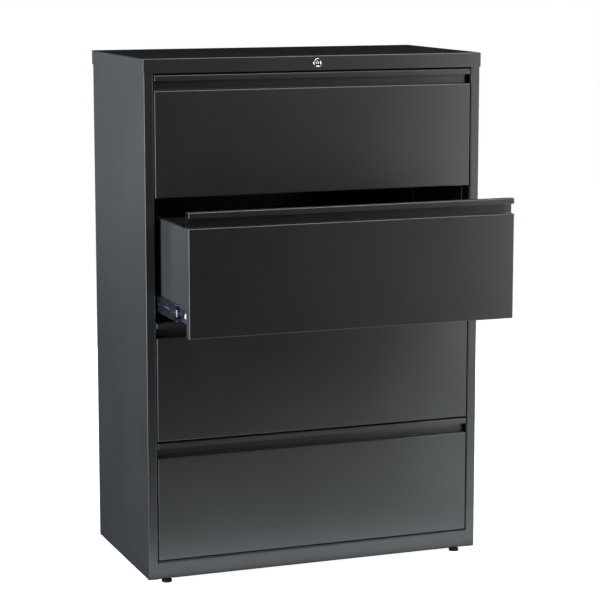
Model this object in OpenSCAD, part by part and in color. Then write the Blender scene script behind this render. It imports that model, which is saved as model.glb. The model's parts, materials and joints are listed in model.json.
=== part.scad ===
// Lateral filing cabinet: four wide drawers on three-part telescopic slides, in a sheet steel case.
// Frame: +Z up, drawers open towards -Y, origin on the floor midway between the four feet.
// Every drawer is drawn shut and then moved out by its own entry in drawer_out.

/* [Case] */
// Overall width, across the top cover
case_w = 914.4; // [800:0.1:1070]
// Overall depth, across the top cover
case_d = 473; // [465:1:520]
// Overall height above the floor
case_h = 1333.5; // [1280:0.5:1400]
// Height of the top cover's skirt
cover_h = 37; // [34:1:45]
// How far the top cover stands proud of the case on each side
cover_proud = 2.2; // [1.8:0.1:4]
// Height of the base rails
rail_h = 44; // [40:1:60]
// Width of each front stile
stile_w = 24.4; // [24:0.1:25]
// Thickness of the sheet steel
sheet = 1.2; // [1:0.1:1.3]
// Outside radius of the bends
bend_r = 3; // [2:0.5:3]

/* [Drawers] */
// Gap between neighbouring drawer fronts
gap = 4.5; // [3:0.5:6]
// Gap between a drawer front and the stile beside it
side_gap = 2.6; // [2:0.1:3.5]
// Depth of a drawer front, which is also the depth of its pull recess
front_d = 20; // [16:1:21]
// Height of the lip above the pull recess
lip_h = 14; // [12:1:18]
// Height of the pull recess
recess_h = 24.5; // [22:0.5:30]
// How far a drawer's sides stand inside the end of its front
side_inset = 13.5; // [13.5:0.1:14]
// Height of a drawer's bottom edge above its front's bottom edge
tray_z = 28; // [26:1:30]
// Height of a drawer's sides
tray_h = 230; // [200:1:232]
// Height of a drawer's back
back_h = 190; // [120:1:200]
// How far drawer 2 stands open
open_out = 268; // [0:1:400]
// Front to back length of a drawer's box
tray_d = 420; // [405:1:425]

/* [Slides] */
// Length of each slide member
slide_l = 406; // [380:1:410]
// Height of a slide
slide_h = 51.4; // [50:0.2:53]
// Thickness of a slide, from its upright to the drawer side
slide_t = 12.7; // [12.6:0.1:12.8]
// Height of a slide's centre line above the drawer front's bottom edge
slide_z = 44.5; // [44:0.5:48]
// Share of a drawer's travel that its middle slide members make
middle_share = 0.645; // [0.5:0.005:0.65]

/* [Feet] */
// Clearance between the floor and the bottom of the case
foot_gap = 12; // [10:1:14]
// Diameter of a foot's pad
pad_d = 26; // [22:1:30]
// Distance between foot centres across the width
foot_dx = 806; // [780:1:815]
// Distance between foot centres front to back
foot_dy = 436; // [430:1:440]

/* [Lock] */
// Diameter of the lock's bezel
bezel_d = 22.4; // [20:0.1:26]
// Diameter of the turning plug
plug_d = 12.6; // [10:0.1:13]
// Travel of the lock link and of the locking bar over the key's quarter turn
lock_travel = 14.14; // [14:0.01:14.3]

/* [Hidden] */
DRAWERS = [1, 2, 3, 4];
DRAWER_PARTS = ["front", "left_side", "right_side", "back", "bottom", "hang_rails",
                "slide_inner", "ball_cages", "slide_middle", "slide_outer"];
CASE_PARTS = ["left_panel", "right_panel", "back_panel", "top_cover", "front_base_rail",
              "rear_base_rail", "bottom_pan", "lock_rail", "slide_uprights", "foot_nuts",
              "foot_front_left", "foot_front_right", "foot_rear_left", "foot_rear_right",
              "lock_housing", "lock_plug", "lock_cam", "lock_link", "locking_bar", "bar_guides"];
$fn = 48;
bit = 0.01;                                   // overlap that joins two pieces of one solid
far = 2000;                                   // longer than any part

charcoal = [0.23, 0.235, 0.24];
zinc = [0.72, 0.74, 0.77];
chrome = [0.8, 0.8, 0.82];
nylon = [0.9, 0.9, 0.88];
black = [0.06, 0.06, 0.06];

body_w = case_w - 2 * cover_proud;
front_y = cover_proud - case_d / 2;           // the plane of the stiles and the shut drawers
rear_y = -front_y;
bottom_z = foot_gap;
cover_z = case_h - cover_h;
wall_x = body_w / 2 - sheet;                  // inner face of a side panel
stile_x = body_w / 2 - stile_w;
return_w = 12;                                // the stile's inner return
flange_w = 20;                                // rear flanges and the rails' upper flanges
foot_flange_w = 40;                           // the rails' lower flanges, which carry the feet

// Drawer stack, counted from the top
stack = cover_z - bottom_z - rail_h - (len(DRAWERS) + 1) * gap;
front_h = stack / len(DRAWERS);
front_x = stile_x - side_gap;
recess_z = front_h - lip_h - recess_h;        // top of the plain panel
tray_x = front_x - side_inset;                // outer face of a drawer's side
tray_y = front_y + front_d;                   // where the drawer's box starts
tray_back = tray_y + tray_d;                  // outer face of the drawer's back
function drawer_z(n) = cover_z - n * (gap + front_h);
function drawer_out(n) = n == 2 ? open_out : 0;

// Opening in the lower back wall of a drawer front
open_edge = 20;                               // from its ends
open_z = 12;                                  // above its bottom edge
open_top = tray_z - 3;

// Drawer sides
tray_flange = 16;                             // front flange, welded to the drawer front
flange_foot = 6;
flange_top = 12;
hem = 6;                                      // the folded top edge of a drawer side

// Slides: all members are flush at the front when shut
slide_y = tray_y + 2.5;
upright_x = tray_x + slide_t;
upright_w = 40;
upright_y = [-170, 150];
upright_top = cover_z - 6;
slot_pitch = 24;                              // between the two slots that take a slide's hooks
slot_w = 6;
slot_h = 10;
member_t = 1.2;
ball_gap = 4.3;                               // between two races
outer_race = slide_h / 2 - member_t - ball_gap / 2;
inner_race = outer_race - ball_gap - member_t;
outer_x = 6.8;                                // depths from the upright: the outer curl's centre,
middle_x = 2.4;                               // the middle member's web,
ball_x = 7.6;                                 // the inner balls and the curl over them,
inner_x = 5.6;                                // the inner member's free edges
cage_x = 4.1;                                 // and the cage's web
cage_t = 0.5;
cage_end = slide_l / 4 + 2;                   // from a slide's end to its cage's, when shut
cage_reach = 5;

// Hanging rails, for letter folders hung between the front and the rear one
hang_pitch = 311;
hang_t = 2.5;
hang_h = 18;
hang_z = tray_h - 8;
hang_y = tray_y + 9;

// Punched holes in the drawer sides
punch_r = 1.8;
punch_z = 112;                                // above a drawer front's bottom edge
punch_y = [tray_y + 78, tray_y + 140];

// Feet
stud_r = 4;
stud_play = 0.06;
hex_h = 4;
pad_h = bottom_z - 2 - hex_h;

// Lock train
barrel_r = plug_d / 2 + 3.2;
lock_z = cover_z + cover_h / 2;
cam_r = lock_travel / sqrt(2);                // the cam pin swings 45 degrees each side of down
pin_d = 4;
cam_y = -203;
cam_t = 2;
link_z = cover_z + 0.1;
link_t = 2;
link_w = 18;
arm_x = wall_x - 1 - lock_travel;             // outer edge of the link's rear arm
arm_w = 22;
bar_y = 62;
bar_w = 18;
bar_t = 3;
bar_x = arm_x - 2;                            // outer face of the bar
bar_foot = 20;                                // the bar's lower end above the bottom sheet
head_h = 6;
head_reach = 14;
lug_h = 10;
lug_x = tray_x + 4.5;
lug_z = tray_z + 56;                          // above a drawer front's bottom edge
catch_h = 15;
catch_t = 3;
catch_out = 9.5;
catch_z = lug_z + lug_h + 1;
ramp_w = 12;
fork_w = 16;
fork_t = 2;
pin_play = 0.5;
guide_play = 0.5;
guide_t = 2.5;
guide_h = 12;
guide_z = [bottom_z + 100, case_h / 2 + 60, cover_z - 110];

// ---------- shared shapes ----------

// A strip of bent sheet in the XY plane. steps = [[length, turn], ...], turn = 90, -90 or 0.
module folded(steps, k = 0, t = sheet, r = bend_r - sheet) {
    len_k = steps[k][0];
    turn = steps[k][1];
    square([len_k, t]);
    if (turn > 0) {
        translate([len_k, t + r]) rotate(-90) corner(r, t);
        translate([len_k + r + t, t + r]) rotate(90) folded(steps, k + 1, t, r);
    }
    if (turn < 0) {
        translate([len_k, -r]) corner(r, t);
        translate([len_k + r, -r]) rotate(-90) folded(steps, k + 1, t, r);
    }
}

// A quarter ring in the first quadrant
module corner(r, t) intersection() {
    difference() {
        circle(r + t);
        circle(r);
    }
    square(r + t + 1);
}

// A rectangle with all four corners rounded
module rounded(w, d, r) {
    translate([r, 0]) square([w - 2 * r, d]);
    translate([0, r]) square([w, d - 2 * r]);
    for (x = [r, w - r], y = [r, d - r]) translate([x, y]) circle(r);
}

// Extrudes an XY outline along X: its x becomes Y and its y becomes Z
module along_x(x0, x1) translate([x0, 0, 0]) rotate([90, 0, 90]) linear_extrude(x1 - x0) children();

// Extrudes an XY outline along Y: its x stays X and its y becomes Z
module along_y(y0, y1) translate([0, y1, 0]) rotate([90, 0, 0]) linear_extrude(y1 - y0) children();

// A box from its two opposite corners
module span(a, b) translate(a) cube(b - a);

// The same thing on both sides of the cabinet
module both_sides() {
    children();
    mirror([1, 0, 0]) children();
}

// ---------- case ----------

// Side panel with its front stile, the stile's return and a rear flange
module side_panel() translate([0, 0, bottom_z]) linear_extrude(case_h - sheet - bottom_z)
    translate([-stile_x - sheet, front_y + return_w]) rotate(-90)
        folded([[return_w - bend_r, -90], [stile_w - 2 * bend_r, -90],
                [rear_y - front_y - 2 * bend_r, -90], [flange_w - bend_r, 0]]);

module left_panel() color(charcoal) side_panel();
module right_panel() color(charcoal) mirror([1, 0, 0]) side_panel();

module back_panel() color(charcoal)
    span([2 - wall_x, rear_y - 2 * sheet, bottom_z + 1], [wall_x - 2, rear_y - sheet, case_h - 2 * sheet]);

// The top cover's outer surface with all its edges rounded, or, set in by a sheet, its cavity
module cover_block(inset, r) intersection() {
    w = case_w - 2 * inset;
    d = case_d - 2 * inset;
    z0 = cover_z - 2 * bend_r;
    h = case_h - inset - z0;
    translate([-w / 2, -d / 2, z0]) linear_extrude(h) rounded(w, d, r);
    along_x(-w / 2, w / 2) translate([-d / 2, z0]) rounded(d, h, r);
    along_y(-d / 2, d / 2) translate([-w / 2, z0]) rounded(w, h, r);
}

module top_cover() color(charcoal) difference() {
    cover_block(0, bend_r);
    cover_block(sheet, cover_proud - sheet);
    span([-far, -far, -far], [far, far, cover_z]);
    lock_bore();
}

// The hole for the lock's barrel, through the front of the case
module lock_bore() lock_turned(barrel_r + 0.1, -case_d / 2 - 5, front_y + 5);

// A channel opening to the rear, from its upper outer corner
module channel(y, z, h, upper, lower) along_x(0.1 - stile_x, stile_x - 0.1)
    translate([y + upper, z]) rotate(180)
        folded([[upper - bend_r, 90], [h - 2 * bend_r, 90], [lower - bend_r, 0]]);

// Ties the stiles together behind the cover's front skirt and carries the lock
module lock_rail() color(charcoal) difference() {
    channel(front_y, case_h - sheet, cover_h - sheet - 1, flange_w, flange_w);
    lock_bore();
}

// A base rail with the holes for its two feet, its face set back from the case's front plane
module base_rail(setback) difference() {
    channel(front_y + setback, bottom_z + rail_h, rail_h, flange_w, foot_flange_w);
    for (x = [-1, 1] * foot_dx / 2) translate([x, -foot_dy / 2, 0])
        cylinder(r = stud_r + stud_play, h = bottom_z + 10);
}

module front_base_rail() color(charcoal) base_rail(0);
module rear_base_rail() color(charcoal) mirror([0, 1, 0]) base_rail(2 * sheet);

// Bottom sheet, resting on both rails
module bottom_pan() color(charcoal)
    span([-upright_x, front_y + bend_r, bottom_z + rail_h],
         [upright_x, rear_y - 2 * sheet, bottom_z + rail_h + sheet]);

// Four hat-section uprights, slotted where each slide hooks in
module slide_uprights() color(charcoal) both_sides() for (y = upright_y) difference() {
    translate([0, 0, bottom_z + 2]) linear_extrude(upright_top - bottom_z - 2) upright_outline(y);
    for (n = DRAWERS, dz = [-0.5, 0.5] * slot_pitch) translate([upright_x, y, drawer_z(n) + slide_z + dz])
        cube([slot_h, slot_w, slot_h], center = true);
}

// Plan outline of an upright: flange, riser, web, riser, flange
module upright_outline(y) {
    riser = wall_x - upright_x - 2 * bend_r;
    flange = return_w - bend_r + sheet;
    translate([wall_x - sheet, y - upright_w / 2 - return_w]) rotate(90) mirror([0, 1])
        folded([[flange, -90], [riser, 90], [upright_w - 2 * bend_r, 90], [riser, -90], [flange, 0]]);
}

// ---------- feet ----------

// Glide pad with a hexagon above it, and its threaded stud
module foot(x, y) translate([x, y, 0]) {
    color(black) {
        cylinder(d = pad_d, h = pad_h);
        cylinder(r = 8, h = pad_h + hex_h, $fn = 6);
    }
    color(zinc) cylinder(r = stud_r, h = bottom_z + 22);
}

module foot_nuts() color(zinc) for (x = [-1, 1] * foot_dx / 2, y = [-1, 1] * foot_dy / 2)
    translate([x, y, bottom_z + sheet]) difference() {
        cylinder(r = 7.5, h = 6.5, $fn = 6);
        translate([0, 0, -1]) cylinder(r = stud_r + stud_play, h = 10);
    }

// ---------- lock ----------

// Flanged barrel, fixed in the cover and the lock rail
module lock_housing() color(chrome) difference() {
    union() {
        lock_turned(bezel_d / 2, -case_d / 2 - 3, -case_d / 2);
        lock_turned(barrel_r, -case_d / 2 - bit, cam_y - 2);
    }
    lock_turned(plug_d / 2 + 0.05, -case_d / 2 - 10, 0);
    lock_turned(bezel_d / 2 - 3, -case_d / 2 - 3 - bit, -case_d / 2 - 2);
}

// A cylinder on the lock's axis, between two depths
module lock_turned(r, y0, y1) translate([0, y0, lock_z]) rotate([-90, 0, 0]) cylinder(r = r, h = y1 - y0);

module lock_plug() color(chrome) difference() {
    lock_turned(plug_d / 2, -case_d / 2 - 2.4, cam_y);
    translate([0, 0, lock_z]) span([-1.1, -case_d / 2 - 3, -4], [1.1, -case_d / 2 + 6, 4]);
}

// Lever on the plug's rear end, with the pin that drives the link
module lock_cam() color(zinc) {
    lock_turned(plug_d / 2, cam_y, cam_y + cam_t);
    translate([0, 0, lock_z]) rotate([0, -45, 0]) {
        span([-pin_d, cam_y, -cam_r], [pin_d, cam_y + cam_t, 0]);
        translate([0, cam_y, -cam_r]) rotate([-90, 0, 0]) {
            cylinder(d = 2 * pin_d, h = cam_t);
            cylinder(d = pin_d, h = cam_t + 6);
        }
    }
}

// Flat link with a forked tab at the cam, an arm to the rear and a ramp at the arm's end
module lock_link() color(zinc) {
    tab_y = cam_y + cam_t + fork_t;
    tab_x = cam_r / sqrt(2);
    arm_end = bar_y - 3;
    slot_r = pin_d / 2 + pin_play;
    top_z = link_z + link_t;
    ramp_x = bar_t - bar_x;
    ramp_end = ramp_x + lock_travel;
    span([-arm_x, tab_y, link_z], [tab_x + fork_w, tab_y + link_w, top_z]);
    span([-arm_x, tab_y, link_z], [arm_w - arm_x, arm_end, top_z]);
    difference() {
        translate([tab_x, tab_y, 0]) span([-fork_w / 2, 0, link_z], [fork_w / 2, fork_t, lock_z]);
        translate([tab_x, tab_y, lock_z]) span([-slot_r, -1, -cam_r - slot_r], [slot_r, fork_t + 1, 1]);
    }
    along_y(arm_end - ramp_w, arm_end)
        polygon([[ramp_x, top_z - bit], [ramp_x, top_z], [ramp_end, top_z + lock_travel],
                 [ramp_end + 3, top_z + lock_travel], [ramp_end + 3, top_z - bit]]);
}

// Bar with a lug in front of each drawer's catch, and a head that rides up the link's ramp
module locking_bar() color(zinc) {
    head_z = link_z + link_t + 0.4;
    span([-bar_x, bar_y, bottom_z + rail_h + bar_foot], [-bar_x + bar_t, bar_y + bar_w, head_z + head_h]);
    span([-bar_x, bar_y - head_reach, head_z], [-bar_x + bar_t, bar_y + 2, head_z + head_h]);
    for (n = DRAWERS) translate([0, 0, drawer_z(n) + lug_z])
        span([-bar_x, bar_y, 0], [-lug_x, bar_y + bar_t, lug_h]);
}

// Staples on the left panel that the bar slides in
module bar_guides() color(zinc) for (z = guide_z) translate([0, 0, z]) {
    inner = [-bar_x - guide_play, bar_y - guide_play, -1];
    outer = [-bar_x + bar_t + guide_play, bar_y + bar_w + guide_play, guide_h + 1];
    difference() {
        span([-wall_x, inner.y - guide_t, 0], [outer.x + guide_t, outer.y + guide_t, guide_h]);
        span(inner, outer);
    }
}

// ---------- drawers ----------

// Moves a drawer's part to its place in the stack, by a share of how far the drawer is out
module placed(n, share = 1) translate([0, -drawer_out(n) * share, drawer_z(n)]) children();

// Side view of a drawer front's outer surface, with the recess and the hollow of the lip cut out.
// The panel's top edge is bent back into the recess.
module front_profile() difference() {
    translate([front_y, 0]) rounded(front_d, front_h, bend_r);
    difference() {
        translate([front_y - 1, recess_z]) square([front_d - sheet + 1, front_h - recess_z - sheet]);
        translate([front_y - 1, recess_z + recess_h]) square([sheet + 1, lip_h]);
        translate([tray_y - sheet - bend_r, recess_z]) difference() {
            square(bend_r);
            translate([0, bend_r]) circle(bend_r);
        }
    }
    translate([front_y, recess_z - bend_r]) difference() {
        translate([-1, 0]) square([bend_r + 1, bend_r + 1]);
        translate([bend_r, 0]) circle(bend_r);
    }
}

// The hollow behind the plain panel
module front_cavity() intersection() {
    along_x(-front_x, front_x) translate([front_y + sheet, sheet])
        rounded(front_d - 2 * sheet, recess_z - 2 * sheet, bend_r - sheet);
    translate([-front_x + sheet, front_y + sheet, 0])
        linear_extrude(recess_z) rounded(2 * (front_x - sheet), front_d + 20, bend_r - sheet);
}

// Welded front: a folded skin round a hollow, open at the back below the drawer's bottom
module drawer_front(n) color(charcoal) placed(n) difference() {
    intersection() {
        along_x(-front_x, front_x) front_profile();
        translate([-front_x, front_y, 0]) linear_extrude(front_h) rounded(2 * front_x, front_d + 20, bend_r);
    }
    front_cavity();
    both_sides() recess_end();
    span([open_edge - front_x, tray_y - 2 * sheet, open_z], [front_x - open_edge, tray_y + 1, open_top]);
}

// Cutter that rounds the panel's upper outer corner, where the recess runs out at its end
module recess_end() translate([front_x - bend_r, 0, recess_z - bend_r])
    along_y(front_y - 1, tray_y - sheet - bend_r) difference() {
        square(bend_r + 1);
        circle(bend_r);
    }

// Drawer side: a web with a hemmed top edge, a front flange and two punched holes
module side_web() {
    difference() {
        along_y(tray_y, tray_back) translate([-tray_x, tray_z]) rotate(90) mirror([0, 1])
            folded([[tray_h - 2 * sheet, 90], [hem, 90], [hem / 2, 0]], 0, sheet, sheet);
        for (y = punch_y) translate([-tray_x - 1, y, punch_z]) rotate([0, 90, 0])
            cylinder(r = punch_r, h = 4);
    }
    span([-tray_x + sheet - bit, tray_y, tray_z + flange_foot],
         [-tray_x + tray_flange, tray_y + sheet, tray_z + tray_h - flange_top]);
}

module drawer_left_side(n) color(charcoal) placed(n) {
    side_web();
    translate([-tray_x, bar_y + bar_t + 2, catch_z]) span([-catch_out, 0, 0], [bit, catch_t, catch_h]);
}

module drawer_right_side(n) color(charcoal) placed(n) mirror([1, 0, 0]) side_web();

module drawer_back(n) color(charcoal) placed(n)
    span([-tray_x + sheet, tray_back - sheet, tray_z + sheet], [tray_x - sheet, tray_back, tray_z + back_h]);

module drawer_bottom(n) color(charcoal) placed(n)
    span([-tray_x + sheet, tray_y, tray_z], [tray_x - sheet, tray_back, tray_z + sheet]);

module drawer_hang_rails(n) color(charcoal) placed(n) for (y = [hang_y, hang_y + hang_pitch])
    span([-tray_x + sheet, y, tray_z + hang_z - hang_h], [tray_x - sheet, y + hang_t, tray_z + hang_z]);

// ---------- slides ----------

// Places a slide outline so that its x runs from the upright to the drawer and its y up
module slide_pair(n, share, y0, y1) placed(n, share) both_sides() translate([-upright_x, 0, slide_z])
    along_y(y0, y1) {
        children();
        mirror([0, 1]) children();
    }

// Upper half of the case member
module outer_half() {
    square([member_t, slide_h / 2]);
    translate([0, slide_h / 2 - member_t]) square([outer_x, member_t]);
    translate([outer_x, outer_race]) corner(ball_gap / 2, member_t);
}

// Upper half of the middle member, curled round the inner row of balls
module middle_half() {
    v = outer_race - ball_gap / 2;
    translate([middle_x, 0]) square([member_t, v]);
    translate([middle_x, v - member_t]) square([ball_x - middle_x, member_t]);
    translate([ball_x, inner_race]) corner(ball_gap / 2, member_t);
}

// Upper half of the drawer member
module inner_half() {
    v = inner_race - ball_gap / 2;
    translate([slide_t - member_t, 0]) square([member_t, v]);
    translate([inner_x, v - member_t]) square([slide_t - inner_x, member_t]);
}

// Upper half of a ball cage, which runs between the middle and the drawer member
module cage_half() {
    translate([cage_x, 0]) square([cage_t, inner_race + cage_t / 2]);
    translate([cage_x, inner_race - cage_t / 2]) square([cage_reach, cage_t]);
}

module drawer_slide_outer(n) color(zinc) slide_pair(n, 0, slide_y, slide_y + slide_l) outer_half();
module drawer_slide_middle(n) color(zinc)
    slide_pair(n, middle_share, slide_y, slide_y + slide_l) middle_half();
module drawer_slide_inner(n) color(zinc) slide_pair(n, 1, slide_y, slide_y + slide_l) inner_half();
module drawer_ball_cages(n) color(nylon)
    slide_pair(n, (1 + middle_share) / 2, slide_y + cage_end, slide_y + slide_l - cage_end) cage_half();

left_panel();
right_panel();
back_panel();
top_cover();
front_base_rail();
rear_base_rail();
bottom_pan();
lock_rail();
slide_uprights();
foot_nuts();
foot(-foot_dx / 2, -foot_dy / 2);  // foot_front_left
foot(foot_dx / 2, -foot_dy / 2);  // foot_front_right
foot(-foot_dx / 2, foot_dy / 2);  // foot_rear_left
foot(foot_dx / 2, foot_dy / 2);  // foot_rear_right
lock_housing();
lock_plug();
lock_cam();
lock_link();
locking_bar();
bar_guides();
for (n = DRAWERS) {
    drawer_front(n);
    drawer_left_side(n);
    drawer_right_side(n);
    drawer_back(n);
    drawer_bottom(n);
    drawer_hang_rails(n);
    drawer_slide_inner(n);
    drawer_ball_cages(n);
    drawer_slide_middle(n);
    drawer_slide_outer(n);
}
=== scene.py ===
"""Four-drawer lateral filing cabinet: finishes, small hardware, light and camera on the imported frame."""

import json
import math

import bmesh
import bpy
from mathutils import Matrix, Vector


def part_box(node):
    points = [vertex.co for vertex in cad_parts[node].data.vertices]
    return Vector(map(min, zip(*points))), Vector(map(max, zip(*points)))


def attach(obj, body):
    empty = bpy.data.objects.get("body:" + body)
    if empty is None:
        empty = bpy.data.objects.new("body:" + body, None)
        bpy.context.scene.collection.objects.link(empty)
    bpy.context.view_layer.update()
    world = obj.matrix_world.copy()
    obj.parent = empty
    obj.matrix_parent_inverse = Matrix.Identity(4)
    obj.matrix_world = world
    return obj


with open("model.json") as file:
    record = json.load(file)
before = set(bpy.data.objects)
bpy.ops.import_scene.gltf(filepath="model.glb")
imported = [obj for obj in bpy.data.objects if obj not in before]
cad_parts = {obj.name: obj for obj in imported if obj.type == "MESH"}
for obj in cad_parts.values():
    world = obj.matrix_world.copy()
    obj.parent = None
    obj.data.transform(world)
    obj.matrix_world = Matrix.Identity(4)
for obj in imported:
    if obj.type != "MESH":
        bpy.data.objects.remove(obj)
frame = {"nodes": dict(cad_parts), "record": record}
scene = bpy.context.scene


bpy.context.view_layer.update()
DRAWERS = (1, 2, 3, 4)
SIDES = (-1, 1)
MM = 0.001
FLOOR_GLOW = 1.0              # emission strength of the floor and of the surround
STUD_BASE = 10 * MM           # height of a foot's hexagon, above which its stud shows


# ---------- materials ----------


class Finish:
    """A node material round one Principled shader. Constants go on its own sockets."""

    def __init__(self, name, **constants):
        self.material = bpy.data.materials.new(name)
        self.material.use_nodes = True
        self.tree = self.material.node_tree
        self.shader = self.tree.nodes["Principled BSDF"]
        for socket, value in constants.items():
            self.shader.inputs[socket.replace("_", " ")].default_value = value
        self.place = self.tree.nodes.new("ShaderNodeTexCoord").outputs["Object"]

    def link(self, source, target):
        self.tree.links.new(source, target)

    def stretched(self, stretch):
        """Object coordinates scaled along each axis."""
        mapping = self.tree.nodes.new("ShaderNodeMapping")
        mapping.inputs["Scale"].default_value = stretch
        self.link(self.place, mapping.inputs["Vector"])
        return mapping.outputs["Vector"]

    def noise(self, scale, detail=2.0, roughness=0.5, stretch=None):
        node = self.tree.nodes.new("ShaderNodeTexNoise")
        node.inputs["Scale"].default_value = scale
        node.inputs["Detail"].default_value = detail
        node.inputs["Roughness"].default_value = roughness
        self.link(self.stretched(stretch) if stretch else self.place, node.inputs["Vector"])
        return node.outputs["Fac"]

    def remap(self, source, low, high, to_low, to_high):
        node = self.tree.nodes.new("ShaderNodeMapRange")
        ends = {"From Min": low, "From Max": high, "To Min": to_low, "To Max": to_high}
        for socket, value in ends.items():
            node.inputs[socket].default_value = value
        self.link(source, node.inputs["Value"])
        return node.outputs["Result"]

    def blend(self, share, first, second):
        """A colour between two, by share. Either may be a colour or a socket."""
        node = self.tree.nodes.new("ShaderNodeMix")
        node.data_type = "RGBA"
        self.link(share, node.inputs["Factor"])
        for socket, value in zip(("A", "B"), (first, second)):
            target = next(s for s in node.inputs if s.name == socket and s.type == "RGBA")
            if isinstance(value, bpy.types.NodeSocket):
                self.link(value, target)
            else:
                target.default_value = (*value, 1.0)
        return next(s for s in node.outputs if s.type == "RGBA")

    def sum(self, first, second):
        node = self.tree.nodes.new("ShaderNodeMath")
        self.link(first, node.inputs[0])
        self.link(second, node.inputs[1])
        return node.outputs[0]

    def bump(self, height, distance, strength=1.0, under=None):
        node = self.tree.nodes.new("ShaderNodeBump")
        node.inputs["Strength"].default_value = strength
        node.inputs["Distance"].default_value = distance
        self.link(height, node.inputs["Height"])
        if under is not None:
            self.link(under, node.inputs["Normal"])
        return node.outputs["Normal"]

    def set(self, colour=None, roughness=None, normal=None):
        for socket, source in (("Base Color", colour), ("Roughness", roughness), ("Normal", normal)):
            if source is not None:
                self.link(source, self.shader.inputs[socket])
        return self.material


def powder_coat():
    """Charcoal semi-gloss powder: orange peel, fine grain, faint cloudiness and handling marks."""
    f = Finish("powder_coat_charcoal", Specular_IOR_Level=0.5)
    cloud = f.remap(f.noise(5.0, 3.0), 0.35, 0.65, 0.0, 1.0)
    grain = f.noise(2600.0, 1.0)
    colour = f.blend(cloud, (0.0408, 0.0408, 0.0400), (0.0458, 0.0459, 0.0452))
    colour = f.blend(f.remap(grain, 0.55, 0.80, 0.0, 0.5), colour, (0.066, 0.066, 0.065))
    smears = f.remap(f.noise(14.0, 5.0, 0.62, (1.0, 1.0, 0.45)), 0.40, 0.70, 0.0, 0.035)
    roughness = f.sum(f.remap(grain, 0.3, 0.7, 0.35, 0.41), smears)
    peel = f.bump(f.noise(330.0, 2.0, 0.45), 0.00012, 0.55)
    return f.set(colour, roughness, f.bump(grain, 0.00002, 0.35, peel))


def zinc():
    """Bright zinc on rolled strip: lengthwise rolling lines, a bluish cast and a faint cloudiness."""
    f = Finish("zinc_passivated", Metallic=1.0)
    streak = f.noise(1.0, 2.0, 0.5, (320.0, 4.0, 320.0))
    cloud = f.noise(26.0, 2.0)
    colour = f.blend(f.remap(cloud, 0.35, 0.65, 0.0, 1.0), (0.20, 0.25, 0.36), (0.27, 0.33, 0.44))
    colour = f.blend(f.remap(streak, 0.45, 0.75, 0.0, 0.22), colour, (0.15, 0.19, 0.28))
    roughness = f.sum(f.remap(streak, 0.3, 0.7, 0.22, 0.29), f.remap(cloud, 0.3, 0.7, 0.0, 0.05))
    return f.set(colour, roughness, f.bump(streak, 0.000005, 0.25))


def stamped_steel():
    """Thin bare steel of the ball cages, with drawing lines and an oil film."""
    f = Finish("cage_steel_oiled", Metallic=1.0)
    lines = f.noise(1.0, 2.0, 0.5, (1400.0, 40.0, 1400.0))
    film = f.noise(110.0, 3.0)
    colour = f.blend(f.remap(film, 0.4, 0.65, 0.0, 1.0), (0.52, 0.52, 0.53), (0.40, 0.39, 0.37))
    return f.set(colour, f.remap(lines, 0.3, 0.7, 0.22, 0.40), f.bump(lines, 0.00002, 0.5))


def ball_steel():
    f = Finish("ball_steel_polished", Metallic=1.0)
    marks = f.noise(900.0, 3.0, 0.7)
    colour = f.blend(f.remap(marks, 0.4, 0.7, 0.0, 1.0), (0.66, 0.67, 0.69), (0.54, 0.55, 0.57))
    return f.set(colour, f.remap(marks, 0.3, 0.7, 0.06, 0.16), f.bump(marks, 0.00001, 0.3))


def chrome():
    """Polished plate with hairline turning marks and faint finger marks."""
    f = Finish("lock_chrome_polished", Metallic=1.0)
    hair = f.noise(1.0, 2.0, 0.5, (2200.0, 2200.0, 300.0))
    marks = f.noise(240.0, 4.0, 0.6)
    colour = f.blend(f.remap(marks, 0.45, 0.7, 0.0, 1.0), (0.80, 0.80, 0.82), (0.70, 0.70, 0.71))
    roughness = f.sum(f.remap(marks, 0.4, 0.7, 0.07, 0.17), f.remap(hair, 0.3, 0.7, 0.0, 0.05))
    return f.set(colour, roughness, f.bump(hair, 0.00001, 0.35))


def lock_dark():
    """Near black: painted shade in the lock face's recess, in its keyway and in the slides' windows; also the
    dark ring on the plug's face.
    """
    f = Finish("painted_shade_black", Metallic=0.6)
    grit = f.noise(1500.0, 3.0, 0.6)
    colour = f.blend(grit, (0.010, 0.010, 0.011), (0.032, 0.032, 0.034))
    return f.set(colour, f.remap(grit, 0.3, 0.7, 0.42, 0.60), f.bump(grit, 0.00003, 0.6))


def plastic(name, dark, light, rough, sheen_scale):
    """Moulded nylon: fine spark-eroded grain over soft colour drift."""
    f = Finish(name, Specular_IOR_Level=0.5)
    grain = f.noise(sheen_scale, 2.0, 0.6)
    drift = f.noise(45.0, 3.0)
    colour = f.blend(f.remap(drift, 0.35, 0.65, 0.0, 1.0), dark, light)
    roughness = f.remap(grain, 0.3, 0.7, rough - 0.06, rough + 0.06)
    return f.set(colour, roughness, f.bump(grain, 0.00005, 0.5))


def foot_finish():
    """Black nylon pad and hexagon below STUD_BASE, and the zinc of the threaded stud above it."""
    f = Finish("foot_nylon_and_stud", Specular_IOR_Level=0.5)
    split = f.tree.nodes.new("ShaderNodeSeparateXYZ")
    f.link(f.place, split.inputs[0])
    blur = 0.1 * MM
    metal = f.remap(split.outputs["Z"], STUD_BASE - blur, STUD_BASE + blur, 0.0, 1.0)
    grain = f.noise(2400.0, 2.0, 0.6)
    nylon = f.blend(f.noise(60.0, 3.0), (0.022, 0.022, 0.024), (0.036, 0.036, 0.039))
    plated = f.blend(f.noise(420.0, 2.0), (0.52, 0.57, 0.66), (0.64, 0.66, 0.70))
    f.link(metal, f.shader.inputs["Metallic"])
    colour = f.blend(metal, nylon, plated)
    return f.set(colour, f.remap(grain, 0.3, 0.7, 0.36, 0.54), f.bump(grain, 0.00005, 0.5))


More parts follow.
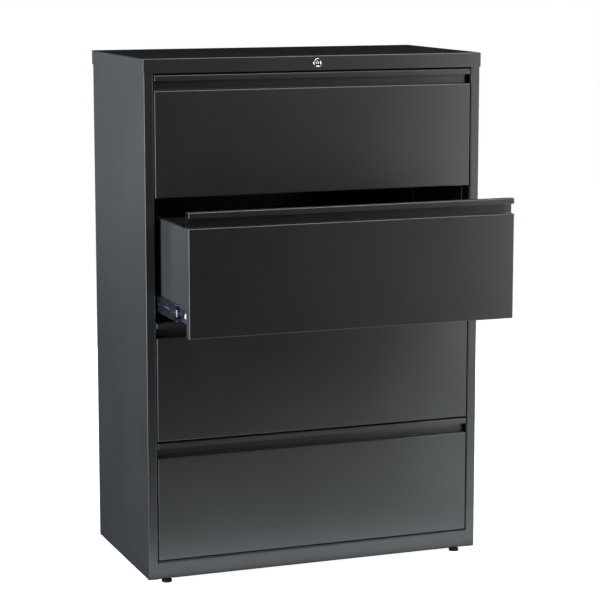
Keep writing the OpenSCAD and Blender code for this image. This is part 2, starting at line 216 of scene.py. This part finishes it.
def rubber():
    f = Finish("bumper_rubber", Specular_IOR_Level=0.35)
    grain = f.noise(1800.0, 3.0, 0.7)
    colour = f.blend(grain, (0.026, 0.026, 0.027), (0.044, 0.044, 0.046))
    return f.set(colour, f.remap(grain, 0.3, 0.7, 0.62, 0.82), f.bump(grain, 0.00005, 0.7))


def floor_finish():
    """Pale seamless paper, with a glow of its own so that the far floor stays as pale as the near one."""
    f = Finish("pale_floor", Specular_IOR_Level=0.0, Roughness=0.9, Emission_Strength=FLOOR_GLOW)
    f.shader.inputs["Emission Color"].default_value = (1.0, 1.0, 1.0, 1.0)
    fibre = f.noise(180.0, 4.0, 0.6)
    colour = f.blend(f.remap(fibre, 0.3, 0.7, 0.0, 1.0), (0.82, 0.82, 0.82), (0.85, 0.85, 0.85))
    return f.set(colour, None, f.bump(fibre, 0.0001, 0.2))


COAT = powder_coat()
ZINC = zinc()
CAGE = stamped_steel()
BALL = ball_steel()
CHROME = chrome()
DARK = lock_dark()
WHITE_NYLON = plastic("nylon_natural", (0.72, 0.72, 0.69), (0.80, 0.80, 0.77), 0.42, 1900.0)
FOOT = foot_finish()
RUBBER = rubber()

SLOT_FINISH = {
    "powder_coat": COAT,
    "zinc_steel": ZINC,
    "cage_steel": CAGE,
    "lock_chrome": CHROME,
    "foot_black": FOOT,
}
slot_of = {part["node"]: part["material_slot"] for part in frame["record"]["subparts"]}
for node, obj in frame["nodes"].items():
    obj.data.materials.clear()
    obj.data.materials.append(SLOT_FINISH[slot_of[node]])


# ---------- making pieces ----------


def piece(name, bm, finish, body, smooth_below=40):
    """A mesh object from bm that rides on a body."""
    mesh = bpy.data.meshes.new(name)
    bmesh.ops.recalc_face_normals(bm, faces=bm.faces)
    for face in bm.faces:
        face.smooth = True
    for edge in bm.edges:
        edge.smooth = len(edge.link_faces) == 2 and edge.calc_face_angle(0) < math.radians(smooth_below)
    bm.to_mesh(mesh)
    bm.free()
    mesh.materials.append(finish)
    obj = bpy.data.objects.new(name, mesh)
    scene.collection.objects.link(obj)
    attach(obj, body)


def turned(bm, profile, centre, axis, steps):
    """Revolves [(radius, height), ...] about an axis through centre. A radius of 0 closes the end."""
    turn = Vector((0, 0, 1)).rotation_difference(Vector(axis)).to_matrix()
    rings = []
    for radius, height in profile:
        if radius <= 0:
            rings.append([bm.verts.new(Vector(centre) + turn @ Vector((0, 0, height)))])
            continue
        angles = [2 * math.pi * k / steps for k in range(steps)]
        points = [Vector((radius * math.cos(a), radius * math.sin(a), height)) for a in angles]
        rings.append([bm.verts.new(Vector(centre) + turn @ p) for p in points])
    for lower, upper in zip(rings, rings[1:]):
        for k in range(steps):
            a, b = lower[k % len(lower)], lower[(k + 1) % len(lower)]
            c, d = upper[(k + 1) % len(upper)], upper[k % len(upper)]
            bm.faces.new([v for v, keep in ((a, True), (b, b != a), (c, True), (d, d != c)) if keep])


def block(bm, low, high, edge):
    """A box with all its edges bevelled."""
    low, high = Vector(low), Vector(high)
    made = bmesh.ops.create_cube(bm, size=1.0)
    bmesh.ops.scale(bm, vec=high - low, verts=made["verts"])
    bmesh.ops.translate(bm, vec=(low + high) / 2, verts=made["verts"])
    edges = {e for v in made["verts"] for e in v.link_edges}
    bmesh.ops.bevel(bm, geom=list(edges), offset=edge, segments=2, affect="EDGES", profile=0.6)


def stadium(bm, centre, along, across, out, length, width, height, steps=10):
    """A raised bead with round ends on a surface: flat top, sides sloping to the surface."""
    along, across, out = Vector(along), Vector(across), Vector(out)
    rows = []
    for share, level in ((1.0, 0.0), (0.4, 0.85), (0.28, 1.0)):
        r = width / 2 * share
        ends = []
        for sign, start in ((1, -90), (-1, 90)):
            for k in range(steps + 1):
                a = math.radians(start + 180 * k / steps)
                ends.append((sign * (length - width) / 2 + r * math.cos(a), r * math.sin(a)))
        base = Vector(centre) + out * height * level
        rows.append([bm.verts.new(base + along * u + across * v) for u, v in ends])
    for lower, upper in zip(rows, rows[1:]):
        for k in range(len(lower)):
            j = (k + 1) % len(lower)
            bm.faces.new([lower[k], lower[j], upper[j], upper[k]])
    bm.faces.new(rows[-1])
    bm.faces.new(list(reversed(rows[0])))


def rounded_strip(bm, x0, x1, front, z0, z1, radius, depth, steps=8):
    """A strip along X whose front face turns back over a radius at its top and bottom."""
    turns = [math.radians(90 * k / steps) for k in range(steps + 1)]
    outline = [(front + radius - radius * math.sin(t), z1 - radius + radius * math.cos(t)) for t in turns]
    outline += [(front + radius - radius * math.cos(t), z0 + radius - radius * math.sin(t)) for t in turns]
    outline += [(front + depth, z0), (front + depth, z1)]
    ends = [[bm.verts.new((x, y, z)) for y, z in outline] for x in (x0, x1)]
    for face in ends:
        bm.faces.new(face)
    for k in range(len(outline)):
        j = (k + 1) % len(outline)
        bm.faces.new([ends[0][k], ends[0][j], ends[1][j], ends[1][k]])


def swept_edge(bm, path, y0, y1, half_t):
    """A strip of thickness 2 half_t along an open path in XZ, between two depths."""
    rows = []
    for k, (x, z) in enumerate(path):
        (ax, az), (bx, bz) = path[max(k - 1, 0)], path[min(k + 1, len(path) - 1)]
        across = Vector((az - bz, 0, bx - ax)).normalized() * half_t
        at = Vector((x, 0, z))
        corners = (at - across, y0), (at + across, y0), (at + across, y1), (at - across, y1)
        rows.append([bm.verts.new((p.x, y, p.z)) for p, y in corners])
    for lower, upper in zip(rows, rows[1:]):
        for k in range(4):
            j = (k + 1) % 4
            bm.faces.new([lower[k], lower[j], upper[j], upper[k]])
    bm.faces.new(rows[0])
    bm.faces.new(rows[-1])


def pan_head(bm, centre, axis, radius, height):
    """A screw head with a rounded rim and a round recess."""
    profile = [(0, -0.2), (1, -0.2), (1, 0.35), (0.92, 0.72), (0.7, 0.94), (0.42, 1), (0.30, 0.55), (0, 0.50)]
    turned(bm, [(r * radius, h * height) for r, h in profile], centre, axis, 20)


def dome(bm, centre, axis, radius, height):
    """A rivet head."""
    profile = [(0, -0.1), (1, -0.1), (0.96, 0.25), (0.75, 0.68), (0.4, 0.93), (0, 1)]
    turned(bm, [(r * radius, h * height) for r, h in profile], centre, axis, 16)


# ---------- slides: balls, buffers, caps, beads, rivets, levers, tabs, painted window shade and screws ---

BALLS_IN_A_ROW = 12
BALL_R = 2.1 * MM
BALL_INSET = 3.5 * MM         # ball centre inside the cage's outer face
BALL_FROM_EDGE = 0.25 * MM    # ball centre inside the cage's upper and lower edges
CAGE_END = 5 * MM             # first and last ball from the cage's ends
BUFFER_HALF_H = 9 * MM
BUFFER_LENGTH = 8 * MM
BUFFER_IN = (1.4 * MM, 5.6 * MM)  # its outer and inner faces, inside the middle member's web
CURL_R = 2.75 * MM            # mean radius of the curls of the middle member
CURL_IN, CURL_DOWN = 7.6 * MM, 3.35 * MM  # a curl's centre, from the member's outer face and its edge
CURL_START = (3.0 * MM, 0.6 * MM)         # where a cap begins, from the same face and edge
CAP_HALF_T = 0.9 * MM
BEAD_SHARES = (0.22, 0.5, 0.78)
RIVET_SHARES = (0.05, 0.36, 0.64, 0.95)
SCREW_SHARES = (0.24, 0.42, 0.62, 0.9)
INNER_WEB_IN = 5.9 * MM       # outer face of the drawer member's web, inside the member's box
LEVER_AT = 30 * MM            # from the drawer member's front end, as are the next two
TAB_AT = 43 * MM
WINDOW_AT = 68 * MM
LEVER_PROFILE = [(0, -7.6), (1.6, -7.3), (2.6, -6.5), (3, -5.3), (3, 5.3), (2.6, 6.5), (1.6, 7.3), (0, 7.6)]


def curl_path(half_h):
    """Offset in from the middle member's outer face, and height, along one of its curls."""
    path = [(CURL_START[0], half_h - CURL_START[1])]
    for k in range(7):
        t = math.radians(15 * k)
        path.append((CURL_IN + CURL_R * math.sin(t), half_h - CURL_DOWN + CURL_R * math.cos(t)))
    return path


def add_balls(name):
    cage_lo, cage_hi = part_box(f"{name}_ball_cages")
    pitch = (cage_hi.y - cage_lo.y - 2 * CAGE_END) / (BALLS_IN_A_ROW - 1)
    balls = bmesh.new()
    for side in SIDES:
        for z in (cage_lo.z + BALL_FROM_EDGE, cage_hi.z - BALL_FROM_EDGE):
            for k in range(BALLS_IN_A_ROW):
                at = Matrix.Translation((side * (cage_hi.x - BALL_INSET), cage_lo.y + CAGE_END + k * pitch, z))
                bmesh.ops.create_icosphere(balls, subdivisions=2, radius=BALL_R, matrix=at)
    piece(f"{name}_balls", balls, BALL, f"{name}_ball_cages", 80)


def add_middle_fittings(name, mid_z):
    """Nylon buffers and edge caps, stiffening beads and rivets of the middle members."""
    lo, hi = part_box(f"{name}_slide_middle")
    nylon, beads, rivets = bmesh.new(), bmesh.new(), bmesh.new()
    half_h = (hi.z - lo.z) / 2
    length = hi.y - lo.y
    for side in SIDES:
        out = (side, 0, 0)
        for y in (lo.y - 2.2 * MM, hi.y - 8.4 * MM):
            x0, x1 = sorted(side * (hi.x - inset) for inset in BUFFER_IN)
            low = (x0, y, mid_z - BUFFER_HALF_H)
            high = (x1, y + BUFFER_LENGTH, mid_z + BUFFER_HALF_H)
            block(nylon, low, high, 1.2 * MM)
        for up in (-1, 1):
            path = [(side * (hi.x + 2.4 * MM - inset), mid_z + up * z) for inset, z in curl_path(half_h)]
            swept_edge(nylon, path, lo.y - 1.2 * MM, lo.y + 3 * MM, CAP_HALF_T)
        for share in BEAD_SHARES:
            at = (side * hi.x, lo.y + length * share, mid_z)
            stadium(beads, at, (0, 1, 0), (0, 0, side), out, 0.2 * length, 11 * MM, 0.6 * MM)
        for share in RIVET_SHARES:
            dome(rivets, (side * hi.x, lo.y + length * share, mid_z), out, 3.2 * MM, 0.5 * MM)
    body = f"{name}_middle_slides"
    piece(f"{name}_slide_buffers", nylon, WHITE_NYLON, body)
    piece(f"{name}_slide_beads", beads, ZINC, body, 35)
    piece(f"{name}_slide_rivets", rivets, ZINC, body, 60)


def add_inner_fittings(name, mid_z):
    """Release levers with their nylon tabs, dark plates painted as the shade seen through the web's windows,
    and screws, on the drawer members.
    """
    lo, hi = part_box(f"{name}_slide_inner")
    levers, tabs, window_shades, heads = bmesh.new(), bmesh.new(), bmesh.new(), bmesh.new()
    upright, along = (0, 0, 1), (0, 1, 0)
    for side in SIDES:
        out = (side, 0, 0)
        x = side * (hi.x - INNER_WEB_IN)
        turned(levers, [(r * MM, h * MM) for r, h in LEVER_PROFILE], (x, lo.y + LEVER_AT, mid_z), upright, 20)
        stadium(tabs, (x, lo.y + TAB_AT, mid_z), upright, along, out, 16 * MM, 13 * MM, 2.6 * MM)
        # a near-black plate painted as the shade seen through a stamped window in the web
        stadium(window_shades, (x, lo.y + WINDOW_AT, mid_z), upright, along, out, 14 * MM, 9 * MM, 0.5 * MM)
        for share in SCREW_SHARES:
            pan_head(heads, (x, lo.y + (hi.y - lo.y) * share, mid_z), out, 3.4 * MM, 1.7 * MM)
    piece(f"{name}_slide_levers", levers, CHROME, name, 60)
    piece(f"{name}_slide_tabs", tabs, WHITE_NYLON, name, 60)
    piece(f"{name}_slide_window_shades", window_shades, DARK, name, 60)
    piece(f"{name}_slide_screws", heads, ZINC, name, 35)


for n in DRAWERS:
    drawer = f"drawer_{n}"
    inner_lo, inner_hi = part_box(f"{drawer}_slide_inner")
    slide_z = (inner_lo.z + inner_hi.z) / 2
    add_balls(drawer)
    add_middle_fittings(drawer, slide_z)
    add_inner_fittings(drawer, slide_z)


# ---------- drawers: brackets that carry the hanging rails ----------

BRACKET_T = 1.6 * MM
BRACKET_HALF_L = 9 * MM
BRACKET_RIVET_AT = 5.5 * MM   # behind the bracket's middle

for n in DRAWERS:
    drawer = f"drawer_{n}"
    rail_lo, rail_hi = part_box(f"{drawer}_hang_rails")
    brackets = bmesh.new()
    for side in SIDES:
        x0, x1 = sorted((side * rail_hi.x, side * (rail_hi.x - BRACKET_T)))
        face_x = side * (rail_hi.x - BRACKET_T)
        for y in (rail_lo.y + 1.25 * MM, rail_hi.y - 1.25 * MM):
            low = (x0, y - BRACKET_HALF_L, rail_lo.z - 5 * MM)
            high = (x1, y + BRACKET_HALF_L, rail_hi.z - 3 * MM)
            block(brackets, low, high, 0.5 * MM)
            dome(brackets, (face_x, y + BRACKET_RIVET_AT, rail_lo.z), (-side, 0, 0), 2.2 * MM, 0.9 * MM)
    piece(f"{drawer}_rail_brackets", brackets, COAT, drawer, 35)


# ---------- lock face ----------

OUTWARD = (0, -1, 0)
housing_lo, housing_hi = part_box("lock_housing")
plug_lo, plug_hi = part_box("lock_plug")
lock_at = (0.0, housing_lo.y, (housing_lo.z + housing_hi.z) / 2)
plug_face = (0.0, plug_lo.y, lock_at[2])
rim_r = (housing_hi.x - housing_lo.x) / 2
well_r = rim_r - 3 * MM
plug_r = (plug_hi.x - plug_lo.x) / 2


def lock_ring(name, profile, centre, steps, finish, body):
    """A turned piece on the lock's axis; heights in its profile run outwards."""
    bm = bmesh.new()
    turned(bm, profile, centre, OUTWARD, steps)
    piece(name, bm, finish, body, 60)


lock_ring("lock_bezel_crown", [
    (rim_r - 0.1 * MM, -0.2 * MM),
    (rim_r - 0.15 * MM, 0.25 * MM),
    (rim_r - 0.5 * MM, 0.6 * MM),
    (rim_r - 1.1 * MM, 0.8 * MM),
    (rim_r - 1.8 * MM, 0.75 * MM),
    (well_r + 0.4 * MM, 0.4 * MM),
    (well_r + 0.05 * MM, -0.2 * MM),
], lock_at, 48, CHROME, "case")

# The well round the plug is a near-black ring: painted shade of the recess between bezel and plug.
lock_ring("lock_well_shade", [
    (well_r - 0.05 * MM, -1.2 * MM),
    (well_r - 0.3 * MM, -1.85 * MM),
    (plug_r + 0.1 * MM, -1.85 * MM),
], lock_at, 48, DARK, "case")

lock_ring("lock_plug_ring", [
    (plug_r - 0.05 * MM, -0.6 * MM),
    (plug_r - 0.1 * MM, 0.1 * MM),
    (plug_r - 0.4 * MM, 0.25 * MM),
    (4.3 * MM, 0.25 * MM),
    (4.0 * MM, -0.1 * MM),
], plug_face, 48, DARK, "lock_cylinder")

lock_ring("lock_plug_dome", [
    (3.9 * MM, -0.3 * MM),
    (3.9 * MM, 0.0),
    (3.3 * MM, 0.35 * MM),
    (2.3 * MM, 0.6 * MM),
    (1.1 * MM, 0.72 * MM),
    (0, 0.75 * MM),
], plug_face, 32, CHROME, "lock_cylinder")

KEYWAY_HALF_W = 0.6 * MM
KEYWAY_HALF_H = 3.3 * MM
# The keyway is a near-black block standing out through the plug's dome: painted shade of the key slot.
keyway_shade = bmesh.new()
block(keyway_shade, (-KEYWAY_HALF_W, plug_lo.y - 0.8 * MM, lock_at[2] - KEYWAY_HALF_H),
      (KEYWAY_HALF_W, plug_lo.y + 3 * MM, lock_at[2] + KEYWAY_HALF_H), 0.15 * MM)
piece("lock_keyway_shade", keyway_shade, DARK, "lock_cylinder")


# ---------- feet: moulded boots; welded seams of the base rail; rivets on the rear flanges ----------

BOOT_NECK_R = 8.2 * MM
SEAM_IN, SEAM_OUT = 0.5 * MM, 3.6 * MM  # how far a seam runs over the rail's end and past it
SEAM_PROUD = 0.02 * MM
RIVETS_IN_A_COLUMN = 11
RIVET_INSET = 11 * MM         # from the outer face of the side panel
RIVET_FIRST = 40 * MM         # above the back panel's lower edge
RIVET_SPAN_CUT = 110 * MM     # the column is this much shorter than the panel

for place in ("front_left", "front_right", "rear_left", "rear_right"):
    foot_lo, foot_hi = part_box(f"foot_{place}")
    pad_r = (foot_hi.x - foot_lo.x) / 2
    boot = bmesh.new()
    centre = ((foot_lo.x + foot_hi.x) / 2, (foot_lo.y + foot_hi.y) / 2, foot_lo.z)
    rim = [(-1.2, 0.05), (0.2, 0.5), (0.3, 1.4), (0.3, 3.6), (0, 4.8), (-1.2, 5.7), (-3.4, 6.15)]
    profile = [(pad_r + r * MM, h * MM) for r, h in rim] + [(BOOT_NECK_R, 6.2 * MM)]
    turned(boot, profile, centre, (0, 0, 1), 48)
    piece(f"foot_{place}_boot", boot, RUBBER, f"foot_{place}", 60)

rail_lo, rail_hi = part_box("front_base_rail")
seams = bmesh.new()
for side in SIDES:
    x0, x1 = sorted((side * (rail_hi.x - SEAM_IN), side * (rail_hi.x + SEAM_OUT)))
    rounded_strip(seams, x0, x1, rail_lo.y - SEAM_PROUD, rail_lo.z, rail_hi.z, 3 * MM, 3.2 * MM)
piece("rail_seams", seams, COAT, "case", 40)

wall_lo, wall_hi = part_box("left_panel")
back_lo, back_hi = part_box("back_panel")
back_rivets = bmesh.new()
rivet_step = (back_hi.z - back_lo.z - RIVET_SPAN_CUT) / (RIVETS_IN_A_COLUMN - 1)
for side in SIDES:
    for k in range(RIVETS_IN_A_COLUMN):
        at = (side * (wall_lo.x + RIVET_INSET), wall_hi.y, back_lo.z + RIVET_FIRST + rivet_step * k)
        dome(back_rivets, at, (0, 1, 0), 3.1 * MM, 0.9 * MM)
piece("back_rivets", back_rivets, COAT, "case", 60)


# ---------- camera, floor and light ----------

CAMERA_AT = (-1.947, -5.260, 1.602)
CAMERA_YAW = 20.73            # degrees, from +Y towards +X
CAMERA_PITCH = -8.93          # degrees
CAMERA_LENS = 127.7
CAMERA_SHIFT = -0.03
FLOOR_HALF = 150.0


def aim(obj, target):
    obj.rotation_euler = (Vector(target) - obj.location).to_track_quat("-Z", "Y").to_euler()


def camera():
    """The photograph's viewpoint, solved from the cabinet's corners, but aimed down instead of shifted."""
    yaw, pitch = math.radians(CAMERA_YAW), math.radians(CAMERA_PITCH)
    data = bpy.data.cameras.new("photo_camera")
    data.lens, data.sensor_width, data.shift_y = CAMERA_LENS, 36.0, CAMERA_SHIFT
    data.clip_start, data.clip_end = 0.1, 500.0
    obj = bpy.data.objects.new("photo_camera", data)
    obj.location = CAMERA_AT
    look = Vector((math.sin(yaw) * math.cos(pitch), math.cos(yaw) * math.cos(pitch), math.sin(pitch)))
    obj.rotation_euler = look.to_track_quat("-Z", "Y").to_euler()
    scene.collection.objects.link(obj)
    scene.camera = obj


def floor():
    bm = bmesh.new()
    bmesh.ops.create_grid(bm, x_segments=1, y_segments=1, size=FLOOR_HALF)
    mesh = bpy.data.meshes.new("floor")
    bm.to_mesh(mesh)
    bm.free()
    mesh.materials.append(floor_finish())
    obj = bpy.data.objects.new("floor", mesh)
    obj.visible_glossy = obj.visible_diffuse = False
    scene.collection.objects.link(obj)


def backdrop():
    """A white surround that only the camera sees; the studio's light comes from its lamps."""
    world = bpy.data.worlds.new("surround")
    world.use_nodes = True
    shade = world.node_tree.nodes["Background"]
    shade.inputs["Color"].default_value = (1.0, 1.0, 1.0, 1.0)
    shade.inputs["Strength"].default_value = FLOOR_GLOW
    seen = world.cycles_visibility
    seen.diffuse = seen.glossy = seen.transmission = seen.scatter = False
    scene.world = world


def lamp(name, at, target, size, radiance, tint=(1.0, 1.0, 1.0), glossy=True, diffuse=True):
    """A soft rectangular lamp of a given brightness per unit of its area."""
    data = bpy.data.lights.new(name, "AREA")
    data.shape, data.size, data.size_y = "RECTANGLE", size[0], size[1]
    data.energy = radiance * math.pi * size[0] * size[1]
    data.color = tint
    obj = bpy.data.objects.new(name, data)
    obj.location = at
    aim(obj, target)
    obj.visible_camera = False
    obj.visible_glossy = glossy
    obj.visible_diffuse = diffuse
    scene.collection.objects.link(obj)


camera()
floor()
backdrop()

# Aims, tints and sizes that several lamps share.
RIGHT_AIM = (0.3, -0.3, 0.9)
RIGHT_LOW_AIM = (0.3, -0.3, 0.7)
GREENISH = (0.94, 1.0, 0.98)
BLUISH = (0.80, 0.88, 1.0)
NEAR_SIZE = (0.3, 0.7)
STRAIGHT_UP = 5.0
FLOOR_LEVEL = 0.003

# The right-hand lamps shade the fronts. The top would mirror right_near_high towards a viewer behind
# the cabinet, so that one is diffuse only, and right_near_gloss stands lower.
lamp("right_high", (1.4, -1.8, 2.8), RIGHT_LOW_AIM, (0.9, 0.9), 2.2)
lamp("right_near_high", (1.25, -1.3, 1.6), RIGHT_AIM, NEAR_SIZE, 16.0, GREENISH, glossy=False)
lamp("right_near_gloss", (1.25, -1.3, 0.95), RIGHT_AIM, NEAR_SIZE, 2.6, GREENISH, diffuse=False)
lamp("right_near_low", (1.25, -1.3, 0.5), RIGHT_LOW_AIM, NEAR_SIZE, 3.3, GREENISH)
lamp("right_slot", (0.95, -0.95, 1.0), RIGHT_AIM, (0.2, 1.6), 3.4, GREENISH)
lamp("left", (-3.0, -0.1, 1.3), (-0.46, -0.1, 0.8), (0.9, 2.2), 13.8, BLUISH, glossy=False)
lamp("left_front", (-3.0, -0.4, 1.3), (-0.46, -0.4, 0.8), (0.4, 2.2), 20.6, BLUISH, glossy=False)
lamp("left_rear", (-1.9, 2.6, 1.2), (-0.46, 0.0, 0.8), (0.8, 1.6), 1.2, (0.84, 0.90, 1.0))

# Lamps seen only in gloss draw the bright lines on the bends.
lamp("right_edges", (2.1, -1.1, 0.9), (0.43, -0.25, 0.8), (0.6, 1.8), 5.0, diffuse=False)
lamp("left_edges", (-1.9, -0.95, 0.9), (-0.46, -0.3, 0.8), (0.9, 1.8), 13.0, (0.97, 0.98, 1.0), diffuse=False)
lamp("front_high_edges", (0.7, -1.2, 3.2), (0.1, -0.3, 0.9), (2.6, 0.7), 16.0, diffuse=False)
lamp("floor_edges", (0.2, -0.95, FLOOR_LEVEL), (0.2, -0.95, STRAIGHT_UP), (1.6, 0.3), 1.4, diffuse=False)

# Light thrown back up by the pale floor.
lamp("floor_bounce", (0.0, -0.37, FLOOR_LEVEL), (0.0, -0.37, STRAIGHT_UP), (1.3, 0.2), 2.8, (0.84, 0.94, 1.0))
lamp("floor_bounce_right", (1.0, -0.85, FLOOR_LEVEL), (1.0, -0.85, STRAIGHT_UP), (0.8, 0.5), 3.9,
     (0.90, 0.98, 1.0))

# Fill for the views from behind and from the right.
lamp("rear_right", (2.6, 2.0, 0.72), (0.3, 0.1, 0.7), (1.6, 1.1), 6.0)
lamp("rear", (0.7, 3.0, 0.72), (0.7, 0.2, 0.72), (2.2, 1.1), 5.0)

scene.view_settings.view_transform = "Standard"
